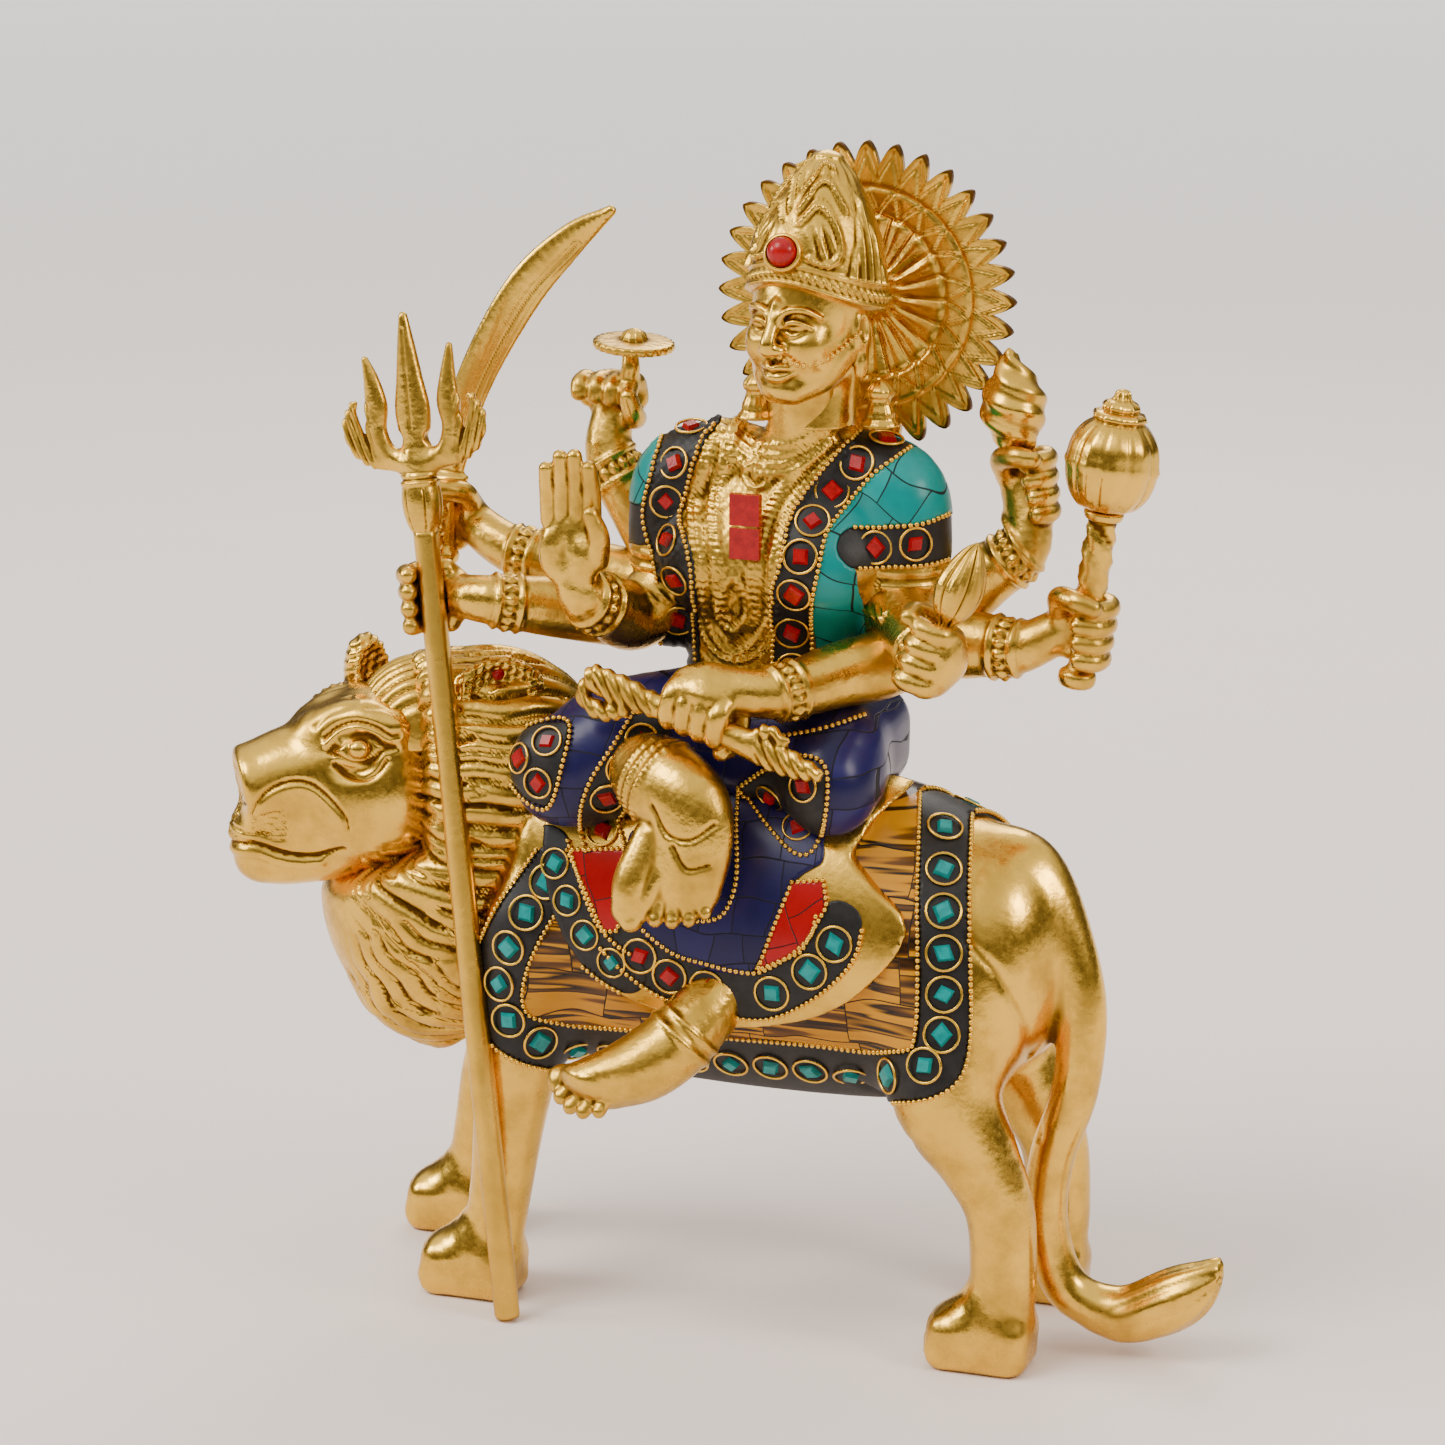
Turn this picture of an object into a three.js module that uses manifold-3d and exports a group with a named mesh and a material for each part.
// A cast brass deity on a lion, with stone inlay and a loose trident.
// Millimetres, +Z up. The lion walks towards -X and the deity faces -Y.
// The origin is at the middle of the footprint, on the surface that the paws stand on.
import * as THREE from 'three';
import { mergeVertices } from 'three/addons/utils/BufferGeometryUtils.js';
import Module from 'manifold-3d';

const wasm = await Module();
wasm.setup();

// Fits between pieces
const SEAM = 0.3; // gap between castings that touch
const CAP = 0.75; // depth of a limb's rounded end, as a share of its radius

// Lion
const BACK_HEIGHT = 158;
const BELLY_HEIGHT = 64;
const BODY_LENGTH = 134; // chest seam to the middle of the rump
const BODY_HALF_WIDTH = 36;
const SEAT_WALL = 10; // metal left between the core slot and the back
const SLOT_LENGTH = 86; // the core slot, open along the belly
const SLOT_WIDTH = 27;
const LEG_SPREAD = 23; // from the middle plane to a front leg
const HIND_SPREAD = 28;
const HIND_REACH = 85; // from the middle of the footprint to a hind hock
const FRONT_REACH = 68;
const FRONT_STRIDE = 24; // how far the right front leg steps ahead
const PAW_HEIGHT = 16;
const PAW_LENGTH = 42;
const HEAD_RADIUS = 25;
const HEAD_TURN = 32; // degrees towards the left flank
const MUZZLE_REACH = 33; // skull centre to the middle of the muzzle's end
const TAIL_RADIUS = 6.2;

// Saddle cloth and the drape that hangs over it
const CLOTH_BED = 1.6;
const CLOTH_STONE = 1.2;
const CLOTH_FRONT = -50;
const CLOTH_REAR = 74;
const CLOTH_HEM_HEIGHT = 80;
const CLOTH_BORDER = 14;
const CLOTH_PARTING = 4; // half the bare strip along the spine
const DRAPE_THICKNESS = 3.2;

// Deity
const SEAT_X = 10;
const TORSO_HEIGHT = 66; // seat to the shoulder line
const SHOULDER_HALF_WIDTH = 38;
const SLEEVE_RADIUS = 13.5;
const ARM_RADIUS = 8.6;
const WRIST_RADIUS = 6.8;
const HEAD_HALF_WIDTH = 17;
const HEAD_HALF_HEIGHT = 21;
const NECK_RADIUS = 10.5;
const NECK_LENGTH = 30;
const CROWN_HEIGHT = 42;
const CROWN_RADIUS = 20;
const CROWN_STONE_RADIUS = 3.9;

// Halo
const HALO_RADIUS = 42.5; // to the tooth tips
const HALO_TOOTH = 7;
const HALO_TEETH = 32;
const HALO_THICKNESS = 3.2;
const HALO_STEM_RADIUS = 5;
const HALO_Y = 24;

// Seat fixing, hidden in the lion
const STUD_RADIUS = 3;
const STUD_BITE = 14; // depth of the stud in the deity's seat
const NUT_RADIUS = 6;
const NUT_HEIGHT = 5;
const WASHER_RADIUS = 9;
const WASHER_THICKNESS = 1.2;
const STUD_TAIL = 4; // thread standing below the nut

// Hand-held emblems
const SHAFT_RADIUS = 3.6;
const TRIDENT_RISE = 80.5; // from the fist to the tip
const TRIDENT_HEAD_LENGTH = 58;
const GRIP_RISE = 45; // the fist on the shaft, above the seat
const SOCKET_RADIUS = 5.6;
const PRONG_RADIUS = 3;
const PRONG_SPREAD = 11;
const SWORD_LENGTH = 92;
const SWORD_WIDTH = 12;
const SWORD_THICKNESS = 3;
const DISCUS_RADIUS = 11;
const DISCUS_THICKNESS = 2.4;
const CONCH_RADIUS = 8.6;
const CONCH_LENGTH = 31;
const MACE_BALL_RADIUS = 12.4;
const MACE_GRIP_RADIUS = 3.8;
const MACE_GRIP_LENGTH = 50;
const LOTUS_RADIUS = 6;
const LOTUS_LENGTH = 35;
const BOW_RADIUS = 3.6;

const V = (x, y, z) => new THREE.Vector3(x, y, z);
const UP = V(0, 0, 1);
const DEPTH = V(0, 1, 0);
const midHeight = (BACK_HEIGHT + BELLY_HEIGHT) / 2;
const halfHeight = (BACK_HEIGHT - BELLY_HEIGHT) / 2;
const seat = V(SEAT_X, 0, BACK_HEIGHT);
const offset = (base, x, y, z) => base.clone().add(V(x, y, z));
const onSeat = (x, y, z) => offset(seat, x, y, z);
const toRadians = THREE.MathUtils.degToRad;

// ---- Solids -------------------------------------------------------------------

// A closed three.js geometry as a solid.
function solidOf(geometry) {
  const bare = geometry.clone();
  bare.deleteAttribute('normal');
  bare.deleteAttribute('uv');
  const merged = mergeVertices(bare, 1e-3);
  return new wasm.Manifold(new wasm.Mesh({
    numProp: 3,
    vertProperties: new Float32Array(merged.attributes.position.array),
    triVerts: new Uint32Array(merged.index.array),
  }));
}

// Every shape below is a function of "grow", which makes it that much bigger all round,
// so a piece can be cut to clear its neighbour by the seam.

// A round-ended limb through stations [point, half width, half height]:
// a lathed profile whose rings are then set out along the curve.
function limb(stations, { sides = 10, rows = 2, reference = UP } = {}) {
  const last = stations.length - 1;
  const path = new THREE.CatmullRomCurve3(stations.map((s) => s[0]), false, 'centripetal');
  const radii = new THREE.CatmullRomCurve3(stations.map((s) => V(s[1], s[2], 0)), false, 'centripetal');
  return (grow = 0) => {
    const endRings = (t, way) => [0, 0.7].map((share) => {
      const r = radii.getPoint(t);
      const depth = CAP * Math.min(r.x, r.y) + grow;
      return { t, share, shift: way * depth * Math.sqrt(1 - share * share) };
    });
    const rings = endRings(0, -1);
    for (let i = 0; i <= last * rows; i++) rings.push({ t: i / (last * rows), share: 1, shift: 0 });
    rings.push(...endRings(1, 1).reverse());
    const profile = rings.map((ring, row) => new THREE.Vector2(ring.share, row));
    const geometry = new THREE.LatheGeometry(profile, sides);
    const position = geometry.attributes.position;
    for (let i = 0; i < position.count; i++) {
      const ring = rings[Math.round(position.getY(i))];
      const along = path.getTangent(ring.t);
      const side = V(0, 0, 0).crossVectors(reference, along).normalize();
      const rise = V(0, 0, 0).crossVectors(along, side);
      const r = radii.getPoint(ring.t);
      const place = path.getPoint(ring.t)
        .addScaledVector(along, ring.shift)
        .addScaledVector(side, position.getZ(i) * (r.x + grow))
        .addScaledVector(rise, position.getX(i) * (r.y + grow));
      position.setXYZ(i, place.x, place.y, place.z);
    }
    return solidOf(geometry);
  };
}

// An ellipsoid, turned about the vertical by "turn" degrees.
function ball(centre, rx, ry, rz, { turn = 0, sides = 12 } = {}) {
  return (grow = 0) => solidOf(new THREE.SphereGeometry(1, sides, Math.ceil(sides * 0.6))
    .rotateX(Math.PI / 2)
    .scale(rx + grow, ry + grow, rz + grow)
    .rotateZ(toRadians(turn))
    .translate(centre.x, centre.y, centre.z));
}

// A turned piece: a profile of [radius, height] from end to end, set on an axis.
function turned(profile, base, direction, { sides = 14 } = {}) {
  const turn = new THREE.Quaternion().setFromUnitVectors(DEPTH, direction.clone().normalize());
  return (grow = 0) => {
    const top = profile.length - 1;
    const grown = profile.map(([r, h], i) => {
      const end = i === 0 || (i === 1 && profile[0][1] === h) ? -grow : 0;
      const tip = i === top || (i === top - 1 && profile[top][1] === h) ? grow : 0;
      return new THREE.Vector2(r > 0 ? r + grow : 0, h + end + tip);
    });
    return solidOf(new THREE.LatheGeometry(grown, sides)
      .applyQuaternion(turn)
      .translate(base.x, base.y, base.z));
  };
}

const rod = (base, direction, radius, length, options) =>
  turned([[0, 0], [radius, 0], [radius, length], [0, length]], base, direction, options);

// A block between two corners.
function block(low, high) {
  const size = high.clone().sub(low);
  const centre = low.clone().add(high).multiplyScalar(0.5);
  return (grow = 0) => solidOf(
    new THREE.BoxGeometry(size.x + 2 * grow, size.y + 2 * grow, size.z + 2 * grow)
      .translate(centre.x, centre.y, centre.z));
}

// A flat outline of [x, z] points, as thick as it is deep along Y.
function plate(outline, nearY, farY) {
  const shape = new THREE.Shape(outline.map(([x, z]) => new THREE.Vector2(x, z)));
  return () => solidOf(new THREE.ExtrudeGeometry(shape, { depth: farY - nearY, bevelEnabled: false })
    .rotateX(Math.PI / 2)
    .translate(0, farY, 0));
}

const joined = (...shapes) => (grow = 0) => shapes.map((s) => s(grow)).reduce((a, b) => a.add(b));

// ---- Assembly -----------------------------------------------------------------

const statue = new THREE.Group();
const lion = new THREE.Group();
const deity = new THREE.Group();
const trident = new THREE.Group();
deity.position.copy(seat);
statue.add(lion, deity, trident);

const finish = (color, roughness, metalness) =>
  new THREE.MeshStandardMaterial({ color, roughness, metalness });
const brass = finish('#c39a3c', 0.3, 1);
const satinBrass = finish('#b5924a', 0.4, 1);
const lapis = finish('#25225e', 0.35, 0);
const turquoise = finish('#0d9c98', 0.4, 0);
const coral = finish('#b3121a', 0.3, 0);
const tigerEye = finish('#8a5a1c', 0.3, 0);
const lac = finish('#1d1c1c', 0.6, 0);
const steel = finish('#8b8d90', 0.45, 1);

const placed = [];

function apart(a, b) {
  return [0, 1, 2].some((i) => a.min[i] > b.max[i] + SEAM || b.min[i] > a.max[i] + SEAM);
}

// The biggest piece that cutting leaves: slivers past a neighbour are trimmed away.
function trimmed(solid) {
  return solid.decompose().reduce((a, b) => (a.volume() > b.volume() ? a : b));
}

// Adds a named piece, cut to clear every piece added before it.
function add(group, name, material, shape) {
  let solid = shape(0);
  for (const earlier of placed) {
    if (!apart(solid.boundingBox(), earlier.bounds)) solid = solid.subtract(earlier.shape(SEAM));
  }
  solid = trimmed(solid);
  placed.push({ shape, bounds: solid.boundingBox() });
  const { vertProperties, triVerts } = solid.getMesh();
  const geometry = new THREE.BufferGeometry()
    .setAttribute('position', new THREE.BufferAttribute(vertProperties, 3))
    .setIndex(new THREE.BufferAttribute(triVerts, 1));
  const { x, y, z } = group.position;
  geometry.translate(-x, -y, -z);
  const mesh = new THREE.Mesh(geometry, material);
  mesh.name = name;
  group.add(mesh);
}

// ---- Trident: a rod that lifts out of the fist ---------------------------------

const tridentLean = V(-37.5, 24, 283).normalize();
// The leaning shaft stands on the lowest point of its foot.
const tridentFoot = V(-56, -42, SHAFT_RADIUS * Math.hypot(tridentLean.x, tridentLean.y));
const onTrident = (distance) => tridentFoot.clone().addScaledVector(tridentLean, distance);
const gripDistance = (BACK_HEIGHT + GRIP_RISE) / tridentLean.z;
const socketDistance = gripDistance + TRIDENT_RISE - TRIDENT_HEAD_LENGTH;
trident.position.copy(tridentFoot);

function tridentHead() {
  const across = V(1, 0, 0).addScaledVector(tridentLean, -tridentLean.x).normalize();
  const at = (rise, side) => onTrident(socketDistance + rise).addScaledVector(across, side * PRONG_SPREAD);
  const flat = { sides: 8, rows: 1, reference: DEPTH };
  const prong = (side, tip) => limb([[at(14, 0), PRONG_RADIUS, 2.4], [at(19, side * 0.75), PRONG_RADIUS, 2.4],
    [at(30, side), PRONG_RADIUS, 2.4], [at(tip, side * 1.12), 1.2, 1.2]], flat);
  const leaf = (side) => limb([[at(16, side * 0.6), 2.4, 1.4], [at(20, side * 1.35), 3.6, 1.4],
    [at(31, side * 1.75), 1.6, 1.2]], flat);
  const spike = limb([[at(12, 0), 4.6, 3.4], [at(30, 0), 4, 3],
    [at(TRIDENT_HEAD_LENGTH - 4, 0), 1.6, 1.6]], flat);
  const socket = turned([
    [0, 0], [SHAFT_RADIUS + 0.8, 0], [SOCKET_RADIUS, 6], [SOCKET_RADIUS, 12], [3.4, 20], [0, 20],
  ], onTrident(socketDistance - 3), tridentLean, { sides: 12 });
  return joined(socket, spike, prong(-1, 44), prong(1, 46), leaf(-1), leaf(1));
}
const shaft = rod(tridentFoot, tridentLean, SHAFT_RADIUS, socketDistance + 3, { sides: 16 });

// ---- Seat fixing ---------------------------------------------------------------

const slotRoof = BACK_HEIGHT - SEAT_WALL;
const washerFoot = slotRoof - SEAM - WASHER_THICKNESS;
const nutFoot = washerFoot - SEAM - NUT_HEIGHT;
const studFoot = nutFoot - STUD_TAIL;
const stud = rod(V(SEAT_X, 0, studFoot), UP, STUD_RADIUS, BACK_HEIGHT + STUD_BITE - studFoot, { sides: 12 });
const nut = rod(V(SEAT_X, 0, nutFoot), UP, NUT_RADIUS, NUT_HEIGHT, { sides: 6 });
const washer = rod(V(SEAT_X, 0, washerFoot), UP, WASHER_RADIUS, WASHER_THICKNESS);

// ---- Lion ----------------------------------------------------------------------

// A station of the body: how far along it, how far below mid height, and its girth as shares.
const rib = (along, drop, width, height) => [
  V((along - 0.43) * BODY_LENGTH, 0, midHeight - drop), width * BODY_HALF_WIDTH, height * halfHeight];
const body = limb([rib(0.05, -3, 0.86, 0.95), rib(0.25, -1, 0.97, 0.99), rib(0.52, 0, 1, 1),
  rib(0.78, 1, 0.98, 0.93), rib(0.98, 1, 0.86, 0.74)], { sides: 18, rows: 1 });

// The core slot: round-ended, and open downwards along the belly.
function coreSlot() {
  const half = SLOT_LENGTH / 2 - SLOT_WIDTH / 2;
  const outline = new THREE.Shape()
    .absarc(SEAT_X + half, 0, SLOT_WIDTH / 2, -Math.PI / 2, Math.PI / 2)
    .absarc(SEAT_X - half, 0, SLOT_WIDTH / 2, Math.PI / 2, Math.PI * 1.5);
  const upToRoof = { depth: slotRoof, bevelEnabled: false, curveSegments: 6 };
  return solidOf(new THREE.ExtrudeGeometry(outline, upToRoof));
}
const torso = (grow = 0) => (grow > 0 ? body(grow) : body(0).subtract(coreSlot()));

// A leg from its hip, through its knee and hock, down to a paw on the ground.
function leg(hip, knee, hock, girth) {
  const paw = V(hock.x, hock.y, 0);
  const heel = offset(paw, PAW_LENGTH * 0.2, 0, PAW_HEIGHT * 0.35);
  const toe = offset(paw, -PAW_LENGTH * 0.52, 0, PAW_HEIGHT * 0.3);
  const foot = limb([[heel, 9, PAW_HEIGHT * 0.62], [heel.clone().lerp(toe, 0.4), 10.5, PAW_HEIGHT * 0.68],
    [toe, 10.5, PAW_HEIGHT * 0.6]], { sides: 12, rows: 1 });
  const shank = limb([[hip, girth[0], girth[0] * 1.15], [knee, girth[1], girth[1]],
    [hock, girth[2], girth[2]], [offset(paw, 2, 0, PAW_HEIGHT * 0.7), girth[2], girth[2]]],
  { sides: 12, reference: DEPTH });
  const above = block(V(-400, -400, 0), V(400, 400, 400));
  return (grow = 0) => joined(shank, foot)(grow).intersect(above(grow));
}
const frontLeg = (stride, side) => {
  const y = side * LEG_SPREAD;
  return leg(V(-FRONT_REACH + 12 - stride / 2, y * 0.9, BELLY_HEIGHT + 26),
    V(-FRONT_REACH + 6 - stride, y, BELLY_HEIGHT * 0.75), V(-FRONT_REACH - stride, y, BELLY_HEIGHT * 0.39),
    [14, 9.5, 8]);
};
const hindLeg = (side) => leg(V(HIND_REACH - 20, side * HIND_SPREAD * 0.62, BELLY_HEIGHT + 38),
  V(HIND_REACH - 18, side * HIND_SPREAD, BELLY_HEIGHT + 9),
  V(HIND_REACH, side * HIND_SPREAD, BELLY_HEIGHT * 0.72), [18, 14, 8.5]);

const ahead = V(-Math.cos(toRadians(HEAD_TURN)), -Math.sin(toRadians(HEAD_TURN)), 0);
const leftward = V(-ahead.y, ahead.x, 0); // towards the lion's left ear
const skull = V(-107, -8, BACK_HEIGHT - 11);
const onHead = (forward, left, rise) => skull.clone()
  .addScaledVector(ahead, forward).addScaledVector(leftward, left).add(V(0, 0, rise));
const lionHead = joined(
  ball(skull, HEAD_RADIUS, HEAD_RADIUS * 0.92, HEAD_RADIUS * 1.05, { turn: HEAD_TURN, sides: 14 }),
  limb([[onHead(8, 0, 2), 14, 17], [onHead(22, 0, 0), 13, 14], [onHead(MUZZLE_REACH, 0, -2), 11.5, 12.5]],
    { sides: 12, rows: 1 }),
  limb([[onHead(6, 0, -20), 12, 11], [onHead(MUZZLE_REACH - 4, 0, -23), 9.5, 9]], { sides: 10, rows: 1 }));
const ear = (forward, left, rise) => limb([[onHead(forward, left * 0.85, rise - 8), 7, 3.4],
  [onHead(forward, left, rise + 4), 5.4, 2.4]], { sides: 8, rows: 1, reference: ahead });
const mane = joined(
  ball(V(-76, 0, BACK_HEIGHT - 9), 35, 31, 36, { sides: 16 }),
  ball(V(-89, -3, midHeight + 1), 39, 29, halfHeight - 4, { sides: 16 }));
const tailPath = [V(78, 0, BACK_HEIGHT - 17), V(92, -3, BACK_HEIGHT - 34), V(100, -6, BACK_HEIGHT - 58),
  V(99, -8, BELLY_HEIGHT + 12), V(92, -8, 54), V(91, -8, 34), V(98, -8, 17), V(112, -7, 11), V(127, -7, 17),
  V(139, -6, 25)];
const tailGirth = [1, 1.05, 1.05, 1, 1, 1, 1.05, 1.2, 1.3, 0.7];
const tail = limb(tailPath.map((p, i) => [p, tailGirth[i] * TAIL_RADIUS, tailGirth[i] * TAIL_RADIUS]),
  { sides: 10, rows: 1, reference: DEPTH });

// ---- Saddle cloth: a resin bed on the brass, with stone fields let into its face ----

const FAR = 60; // past the flanks
const clothLimits = (inset, y0, y1) => block(
  V(CLOTH_FRONT + inset, y0, CLOTH_HEM_HEIGHT + inset), V(CLOTH_REAR - inset, y1, BACK_HEIGHT + 20));
const clothBed = (grow = 0) => body(SEAM + CLOTH_BED + grow)
  .intersect(clothLimits(0, -FAR, FAR)(grow)).subtract(body(SEAM - grow));
const stoneBack = 2 * SEAM + CLOTH_BED;
const stoneFace = stoneBack + CLOTH_STONE;
const clothField = (y0, y1) => (grow = 0) => body(stoneFace + grow)
  .intersect(clothLimits(CLOTH_BORDER, y0, y1)(grow)).subtract(body(stoneBack - grow));

// ---- Deity ---------------------------------------------------------------------

const waist = onSeat(-2, 2, 20);
const chest = onSeat(0, 0, TORSO_HEIGHT - 8);
const collar = onSeat(4, 3, TORSO_HEIGHT + 14);
const upperBody = limb([[offset(waist, 0, 0, -4), 26, 16], [offset(waist, 0, 0, 12), 24, 16],
  [chest, 34, 20], [collar, 27, 14]], { sides: 16, reference: DEPTH });
const shoulder = (side) => onSeat(2 + side * SHOULDER_HALF_WIDTH, 3, TORSO_HEIGHT + 12);
const sleeve = (side) => limb([[offset(shoulder(side), -side * 5, 0, -3), SLEEVE_RADIUS, SLEEVE_RADIUS],
  [offset(shoulder(side), side, -1, -18), SLEEVE_RADIUS + 0.7, SLEEVE_RADIUS + 0.7],
  [offset(shoulder(side), -side, -2, -38), SLEEVE_RADIUS - 1.5, SLEEVE_RADIUS - 1.5]],
{ sides: 12, reference: DEPTH });

const neckFoot = offset(collar, 2, -1, -2);
const headCentre = offset(neckFoot, 4, -8, NECK_LENGTH + 9);
const head = joined(
  rod(neckFoot, UP, NECK_RADIUS, NECK_LENGTH, { sides: 14 }),
  ball(headCentre, HEAD_HALF_WIDTH, HEAD_HALF_WIDTH * 1.08, HEAD_HALF_HEIGHT, { turn: -15, sides: 16 }));
const crownFoot = offset(headCentre, 2, 2, HEAD_HALF_HEIGHT - 9);
const crown = turned([[0, 0], [CROWN_RADIUS, 0], [CROWN_RADIUS * 0.95, CROWN_HEIGHT * 0.25],
  [CROWN_RADIUS * 0.6, CROWN_HEIGHT * 0.65], [4, CROWN_HEIGHT * 0.9], [0, CROWN_HEIGHT]],
crownFoot, V(0.04, 0.08, 1), { sides: 16 });
const browStone = offset(crownFoot, -4, 1.5 - CROWN_RADIUS, CROWN_HEIGHT * 0.4);
const bezel = rod(offset(browStone, 0, 2, 0), V(-0.2, -1, 0.12), CROWN_STONE_RADIUS + 1.5, 3.4,
  { sides: 14 });
const crownStone = ball(offset(browStone, -0.5, -3, 0.4), CROWN_STONE_RADIUS, CROWN_STONE_RADIUS - 0.5,
  CROWN_STONE_RADIUS + 0.7, { sides: 10 });
const earring = (side) => turned([[0, 0], [2.6, 0], [3.6, 4], [1.6, 8], [2.8, 12], [0, 13]],
  offset(headCentre, 2 + side * (HEAD_HALF_WIDTH + 2), 3, -HEAD_HALF_HEIGHT - 1), UP, { sides: 8 });
const haloCentre = offset(headCentre, 7, 0, 11).setY(HALO_Y);
const starOutline = (grow) => Array.from({ length: HALO_TEETH * 2 }, (_, i) => {
  const r = HALO_RADIUS - (i % 2) * HALO_TOOTH + grow;
  const angle = (Math.PI * i) / HALO_TEETH;
  return [haloCentre.x + r * Math.sin(angle), haloCentre.z + r * Math.cos(angle)];
});
const halo = (grow = 0) => plate(starOutline(grow),
  HALO_Y - HALO_THICKNESS / 2 - grow, HALO_Y + HALO_THICKNESS / 2 + grow)();
const haloStem = rod(haloCentre, V(-5, -20, -13), HALO_STEM_RADIUS, 18, { sides: 12 });

// A forearm with its fist or palm at the end.
function arm(elbow, wrist, palm, hand) {
  return joined(limb([[elbow, ARM_RADIUS * 1.15, ARM_RADIUS * 1.15],
    [elbow.clone().lerp(wrist, 0.5), ARM_RADIUS, ARM_RADIUS],
    [wrist, WRIST_RADIUS, WRIST_RADIUS], [wrist.clone().lerp(palm, 0.7), WRIST_RADIUS, WRIST_RADIUS]],
  { sides: 10, rows: 1, reference: V(0.3, 1, 0.2).normalize() }), hand);
}
const fist = (centre, turn = 0) => ball(centre, 9.5, 8.5, 11, { turn, sides: 10 });
const elbow = (side) => offset(shoulder(side), -side * 2, -3, -40);
const standing = { sides: 10, rows: 1, reference: DEPTH };

const palmAt = {
  trident: offset(onTrident(gripDistance), -2.5, 1, -1),
  sword: onSeat(-96, 11, 60),
  blessing: onSeat(-49, -31, 66),
  discus: onSeat(-56, 16, 97),
  lap: onSeat(-8, -41, 24),
  lotus: onSeat(54, -40, 44),
  conch: onSeat(67, 14, 80),
  mace: onSeat(87, -2, 45),
};
const fromPalm = (name, x, y, z) => offset(palmAt[name], x, y, z);
const fingerTip = fromPalm('discus', 7, 0, 13);
const arms = {
  trident: arm(offset(elbow(-1), -2, 0, 0), fromPalm('trident', 18, 4, 0), palmAt.trident,
    fist(palmAt.trident)),
  sword: arm(offset(elbow(-1), -4, 14, 4), fromPalm('sword', 12, 1, -8), palmAt.sword,
    limb([[fromPalm('sword', 6, 1, -5), 6.5, 8], [fromPalm('sword', -7, 0, 3), 8, 10]], standing)),
  blessing: arm(offset(elbow(-1), 0, -9, 3), fromPalm('blessing', 3, 2, -16), palmAt.blessing,
    limb([[fromPalm('blessing', 2, 2, -14), 7, 5.6], [fromPalm('blessing', 0, 0, 2), 10, 4],
      [fromPalm('blessing', 1, 0, 25), 7.5, 3]], standing)),
  discus: arm(offset(elbow(-1), -2, 16, 12), fromPalm('discus', 0, 1, -17), palmAt.discus,
    joined(fist(palmAt.discus),
      limb([[fromPalm('discus', 4, 0, 2), 3.4, 3.4], [fingerTip, 2.2, 2.2]], standing))),
  lap: arm(offset(elbow(1), -2, -6, -3), fromPalm('lap', 18, 5, 5), palmAt.lap, fist(palmAt.lap, 10)),
  lotus: arm(offset(elbow(1), 4, -10, 6), fromPalm('lotus', -1, 10, -4), palmAt.lotus, fist(palmAt.lotus)),
  conch: arm(offset(elbow(1), 6, 12, 8), fromPalm('conch', -1, 1, -16), palmAt.conch, fist(palmAt.conch)),
  mace: arm(offset(elbow(1), 9, 4, 0), fromPalm('mace', -18, 4, -7), palmAt.mace, fist(palmAt.mace)),
};

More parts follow.
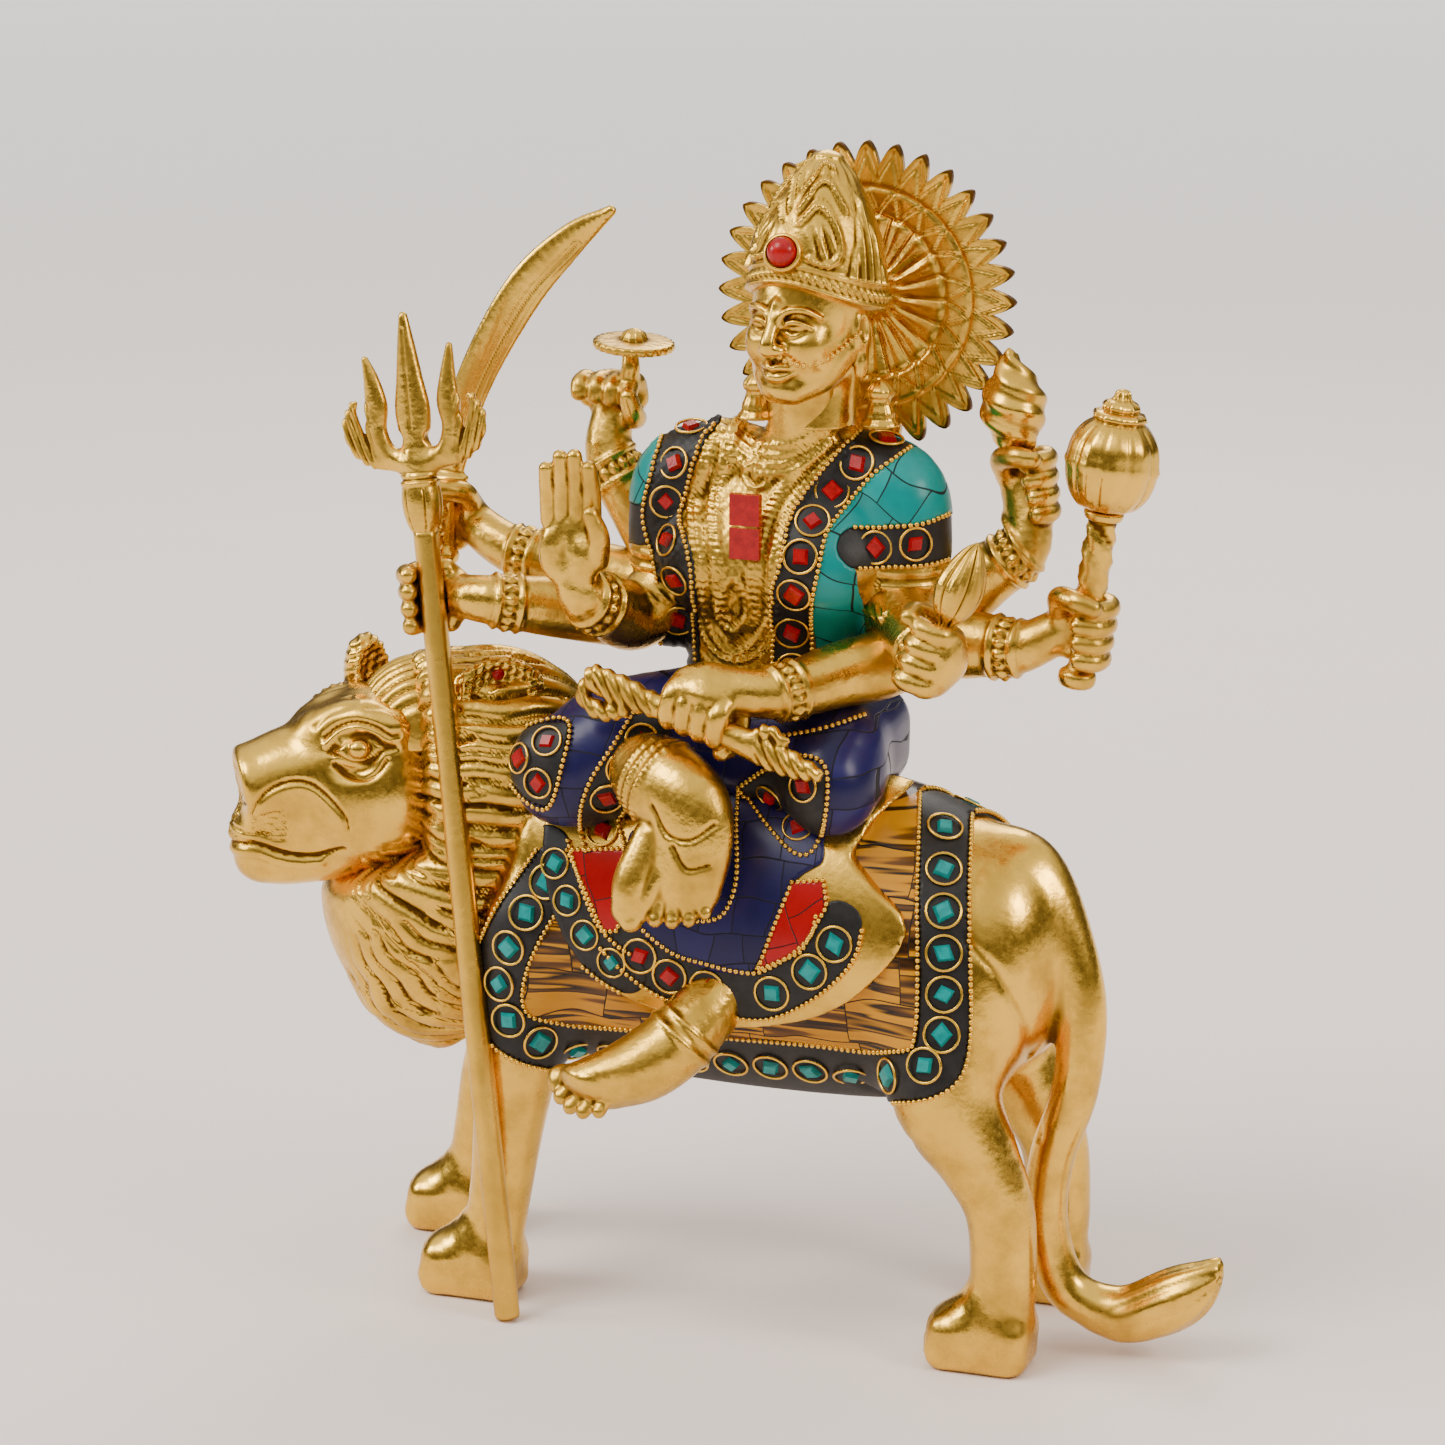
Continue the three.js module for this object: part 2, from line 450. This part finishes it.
const blade = (share, x, z, width) => [
  fromPalm('sword', -8 + x, 0, 12 + share * SWORD_LENGTH * 0.87 + z), width, SWORD_THICKNESS / 2];
const maceAxis = V(8, 0, 56).normalize();
const maceFoot = fromPalm('mace', -2, 0, -16);
const maceTop = maceFoot.clone().addScaledVector(maceAxis, MACE_GRIP_LENGTH + SEAM);
const holds = {
  sword: joined(
    limb([[fromPalm('sword', -8, 0, -8), 2.6, 2.6], [fromPalm('sword', -7, 0, 10), 2.6, 2.6]], standing),
    limb([blade(0, 1, 0, SWORD_WIDTH * 0.36), blade(0.33, 9, 0, SWORD_WIDTH / 2),
      blade(0.66, 24, 0, SWORD_WIDTH / 2), blade(0.97, 51, 0, 2)],
    { sides: 10, rows: 3, reference: DEPTH })),
  discus: turned([[0, 0], [DISCUS_RADIUS, 0], [DISCUS_RADIUS, DISCUS_THICKNESS], [3.4, DISCUS_THICKNESS + 1],
    [0, DISCUS_THICKNESS + 3.4]], offset(fingerTip, 1, -1, 1), V(0.08, -0.05, 1), { sides: 18 }),
  lotus: turned([[0, 0], [1.8, 0], [2, LOTUS_LENGTH * 0.34], [LOTUS_RADIUS, LOTUS_LENGTH * 0.57],
    [LOTUS_RADIUS * 0.85, LOTUS_LENGTH * 0.77], [0, LOTUS_LENGTH]],
  fromPalm('lotus', 2, -1, -2), V(9, 3, 26), { sides: 10 }),
  conch: turned([[0, 0], [2.6, 2], [CONCH_RADIUS * 0.75, CONCH_LENGTH * 0.23],
    [CONCH_RADIUS, CONCH_LENGTH * 0.45], [CONCH_RADIUS * 0.85, CONCH_LENGTH * 0.65],
    [CONCH_RADIUS * 0.5, CONCH_LENGTH * 0.81],
    [2.4, CONCH_LENGTH * 0.9], [0, CONCH_LENGTH]],
  fromPalm('conch', -3, -1, 7), V(-3, 0, 28), { sides: 12 }),
  mace_handle: turned([[0, 0], [MACE_GRIP_RADIUS + 1, 1.5], [MACE_GRIP_RADIUS + 1, 4.5],
    [MACE_GRIP_RADIUS - 1, 8], [MACE_GRIP_RADIUS, 20], [MACE_GRIP_RADIUS + 1, MACE_GRIP_LENGTH],
    [0, MACE_GRIP_LENGTH]],
  maceFoot, maceAxis, { sides: 12 }),
  mace_head: turned([[0, 0], [6, 0], [MACE_BALL_RADIUS * 0.9, MACE_BALL_RADIUS * 0.4],
    [MACE_BALL_RADIUS, MACE_BALL_RADIUS], [MACE_BALL_RADIUS * 0.9, MACE_BALL_RADIUS * 1.55],
    [6.4, MACE_BALL_RADIUS * 2], [5, MACE_BALL_RADIUS * 2 + 3], [0, MACE_BALL_RADIUS * 2 + 8]],
  maceTop, maceAxis, { sides: 14 }),
  bow: limb([[onSeat(-38, -43, 30), 5, 3], [onSeat(-22, -42, 25), BOW_RADIUS, BOW_RADIUS],
    [onSeat(0, -44, 19), BOW_RADIUS, BOW_RADIUS], [onSeat(24, -45, 11), 2.4, 2.4]], { sides: 8, rows: 1 }),
};

// The lap: a seat between two wrapped thighs, a panel that hangs over the cloth, and the feet.
const lap = {
  skirt_seat: ball(onSeat(2, 0, 12), 36, 26, 20, { sides: 16 }),
  skirt_knee_right: limb([[onSeat(-18, -4, 12), 15, 17], [onSeat(-40, -20, 6), 19, 21],
    [onSeat(-51, -30, 1), 14, 19]], { sides: 12, rows: 1 }),
  skirt_knee_left: limb([[onSeat(14, -8, 12), 15, 17], [onSeat(26, -21, 4), 15, 19],
    [onSeat(30, -29, -4), 12, 16]], { sides: 12, rows: 1 }),
};
const drapeBack = stoneFace + SEAM;
const drapeOutline = [[-48, -18], [-14, -49], [8, -55], [22, -58], [52, -36], [44, -8], [30, 2], [-38, 2]];
const drapeLimits = plate(drapeOutline.map(([x, z]) => [x, BACK_HEIGHT + z]), -FAR, -8);
const drape = (grow = 0) => body(drapeBack + DRAPE_THICKNESS + grow)
  .intersect(drapeLimits(grow)).subtract(body(drapeBack - grow));
const foldedFoot = limb([[onSeat(-16, -38, 10), 9, 9], [onSeat(-7, -45, 2), 9, 9],
  [onSeat(-7, -49, -10), 10, 6.4], [onSeat(-8, -51, -24), 10, 4]], { sides: 12, rows: 1, reference: DEPTH });
const hangingFoot = limb([[onSeat(0, -44, -50), 8, 8], [onSeat(-7, -48, -62), 8.5, 7],
  [onSeat(-22, -54, -73), 9.5, 6], [onSeat(-36, -56, -78), 8, 4.6]],
{ sides: 12, rows: 1, reference: DEPTH });
const chestStone = (rise) => block(offset(chest, -7, -21.5, rise), offset(chest, 1.5, -19, rise + 8.6));

// ---- Every piece, in the order in which its neighbours are cut to clear it ----------

add(trident, 'trident_shaft', satinBrass, shaft);
add(trident, 'trident_head', satinBrass, tridentHead());
add(deity, 'seat_stud', steel, stud);
add(deity, 'seat_nut', steel, nut);
add(deity, 'seat_washer', steel, washer);
add(lion, 'lion_torso', brass, torso);
add(lion, 'lion_leg_hind_left', brass, hindLeg(-1));
add(lion, 'lion_leg_hind_right', brass, hindLeg(1));
add(lion, 'lion_leg_front_left', brass, frontLeg(0, -1));
add(lion, 'lion_leg_front_right', brass, frontLeg(FRONT_STRIDE, 1));
add(lion, 'lion_head', brass, lionHead);
add(lion, 'lion_ear_left', brass, ear(-31, 31, 29));
add(lion, 'lion_ear_right', brass, ear(3, -20, 30));
add(lion, 'lion_mane', brass, mane);
add(lion, 'lion_tail', brass, tail);
add(deity, 'skirt_seat', lapis, lap.skirt_seat);
add(lion, 'saddle_bed', lac, clothBed);
add(lion, 'saddle_stone_left', tigerEye, clothField(-FAR, -CLOTH_PARTING));
add(lion, 'saddle_stone_right', tigerEye, clothField(CLOTH_PARTING, FAR));
add(deity, 'bow', brass, holds.bow);
add(deity, 'foot_folded', brass, foldedFoot);
add(deity, 'foot_hanging', brass, hangingFoot);
add(deity, 'deity_torso', brass, upperBody);
add(deity, 'skirt_knee_right', lapis, lap.skirt_knee_right);
add(deity, 'skirt_knee_left', lapis, lap.skirt_knee_left);
add(deity, 'skirt_drape', lapis, drape);
add(deity, 'chest_stone_upper', coral, chestStone(13));
add(deity, 'chest_stone_lower', coral, chestStone(3.8));
add(deity, 'sleeve_right', turquoise, sleeve(-1));
add(deity, 'sleeve_left', turquoise, sleeve(1));
add(deity, 'crown_stone', coral, crownStone);
add(deity, 'crown_bezel', brass, bezel);
add(deity, 'halo', brass, halo);
add(deity, 'crown', brass, crown);
add(deity, 'deity_head', brass, head);
add(deity, 'halo_stem', brass, haloStem);
add(deity, 'earring_right', brass, earring(-1));
add(deity, 'earring_left', brass, earring(1));
for (const [name, shape] of Object.entries(holds)) if (name !== 'bow') add(deity, name, brass, shape);
for (const [name, shape] of Object.entries(arms)) add(deity, `arm_${name}`, brass, shape);

// The origin goes to the middle of the footprint.
const bounds = new THREE.Box3().setFromObject(statue);
statue.position.set(-(bounds.min.x + bounds.max.x) / 2, -(bounds.min.y + bounds.max.y) / 2, -bounds.min.z);

export default statue;
